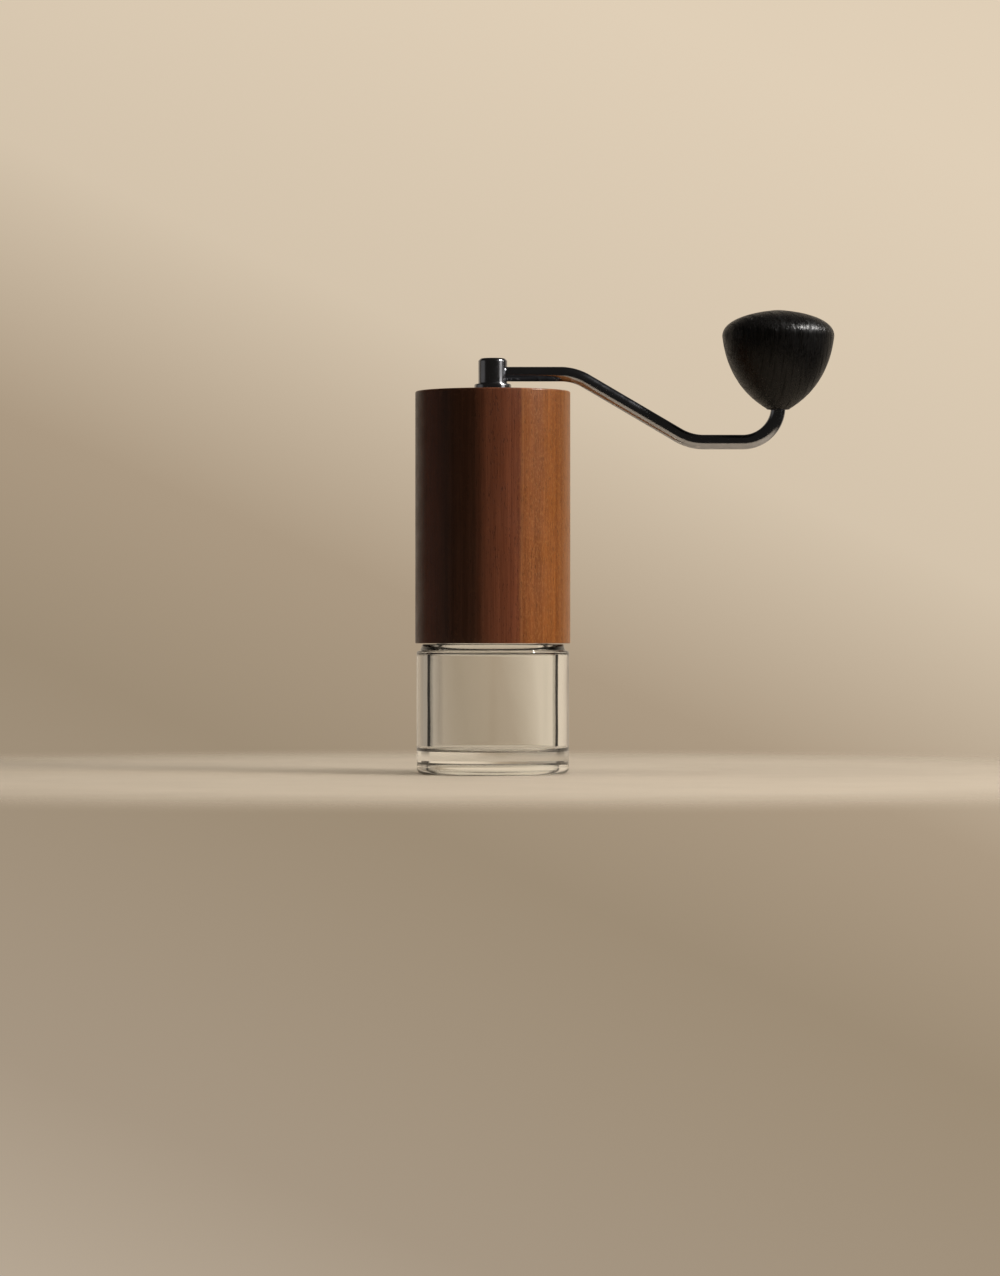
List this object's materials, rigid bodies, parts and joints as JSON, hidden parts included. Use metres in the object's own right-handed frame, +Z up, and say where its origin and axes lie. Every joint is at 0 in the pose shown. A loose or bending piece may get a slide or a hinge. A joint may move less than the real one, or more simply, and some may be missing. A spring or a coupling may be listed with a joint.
{
  "type": "hand crank coffee grinder",
  "caption": "Hand crank coffee grinder: a wood-sleeved conical burr body on a screw-on glass jar, with a bent steel crank and turned knob that lift off with the lid.",
  "frame": {"origin": "centre of the jar's flat foot", "axes": "+Z up along the grinder's axis, +X towards the crank's knob at rest"},
  "size_m": [0.1568, 0.058, 0.1737],
  "materials": {
    "glass": "clear, polished",
    "wood": "satin varnish over dark streaked hardwood",
    "black_wood": "black stain, open grain, satin",
    "dark_steel": "polished, dark gunmetal coating",
    "burr_steel": "ground",
    "bright_steel": "bright drawn",
    "aluminium": "satin machined",
    "bronze": "sintered",
    "plastic": "fine matt moulding",
    "silicone": "translucent white"
  },
  "bodies": {
    "jar": {"jar": "glass"},
    "seal": {"jar_seal": "silicone"},
    "body": {"wood_sleeve": "wood", "inner_shell": "bright_steel", "threaded_collar": "aluminium", "burr_retaining_ring": "aluminium", "burr_screw_1": "burr_steel", "burr_screw_2": "burr_steel", "burr_screw_3": "burr_steel", "burr_carrier": "aluminium", "outer_burr": "burr_steel", "lower_bridge": "aluminium", "lower_bearing_outer_race": "bright_steel", "upper_bridge": "aluminium", "upper_bearing_outer_race": "bright_steel"},
    "shaft": {"drive_shaft": "bright_steel", "lower_bearing_inner_race": "bright_steel", "upper_bearing_inner_race": "bright_steel", "lower_shaft_clip": "burr_steel", "upper_shaft_clip": "burr_steel", "spring_washer": "bright_steel", "dial_end_clip": "burr_steel"},
    "lower_balls": {"lower_bearing_balls": "burr_steel"},
    "upper_balls": {"upper_bearing_balls": "burr_steel"},
    "burr": {"inner_burr": "burr_steel", "click_plate": "bright_steel", "detent_ball_1": "bright_steel", "detent_ball_2": "bright_steel", "burr_spring": "burr_steel"},
    "dial": {"adjusting_dial": "plastic"},
    "crank": {"crank_hub": "dark_steel", "crank_rod": "dark_steel", "rod_grub_screw": "burr_steel", "lid_clip": "burr_steel", "knob_snap_ring": "burr_steel"},
    "lid": {"lid": "plastic", "lid_seal": "silicone"},
    "knob": {"knob": "black_wood", "knob_bush": "bronze"}
  },
  "joints": [
    {"name": "body_rise", "type": "slide", "parent": "jar", "child": "seal", "axis": [0, 0, 1], "range_m": [0, 0.00675]},
    {"name": "body_unscrew", "type": "hinge", "parent": "seal", "child": "body", "pos_m": [0, 0, 0], "axis": [0, 0, 1], "range_deg": [0, 810]},
    {"name": "crank_turn", "type": "hinge", "parent": "body", "child": "shaft", "pos_m": [0, 0, 0], "axis": [0, 0, 1], "continuous": true},
    {"name": "lower_balls_turn", "type": "hinge", "parent": "body", "child": "lower_balls", "pos_m": [0, 0, 0.0799], "axis": [0, 0, 1], "continuous": true},
    {"name": "upper_balls_turn", "type": "hinge", "parent": "body", "child": "upper_balls", "pos_m": [0, 0, 0.1337], "axis": [0, 0, 1], "continuous": true},
    {"name": "burr_travel", "type": "slide", "parent": "shaft", "child": "burr", "axis": [0, 0, 1], "range_m": [-0.001, 0.0009], "deforming": ["burr_spring"]},
    {"name": "dial_turn", "type": "hinge", "parent": "burr", "child": "dial", "pos_m": [0, 0, 0.0558], "axis": [0, 0, 1], "range_deg": [-480, 432]},
    {"name": "crank_lift", "type": "slide", "parent": "shaft", "child": "crank", "axis": [0, 0, 1], "range_m": [0, 0.06]},
    {"name": "lid_lift", "type": "slide", "parent": "body", "child": "lid", "axis": [0, 0, 1], "range_m": [0, 0.06]},
    {"name": "knob_spin", "type": "hinge", "parent": "crank", "child": "knob", "pos_m": [0.10679, 0, 0.146], "axis": [0, 0, 1], "continuous": true}
  ],
  "couplings": [
    {"joint": "body_rise", "follows": "body_unscrew", "m_per_rad": 0.00047746},
    {"joint": "lower_balls_turn", "follows": "crank_turn", "ratio": 0.4174},
    {"joint": "upper_balls_turn", "follows": "crank_turn", "ratio": 0.4174},
    {"joint": "burr_travel", "follows": "dial_turn", "m_per_rad": 0.00011937},
    {"joint": "lid_lift", "follows": "crank_lift", "ratio": 1}
  ]
}
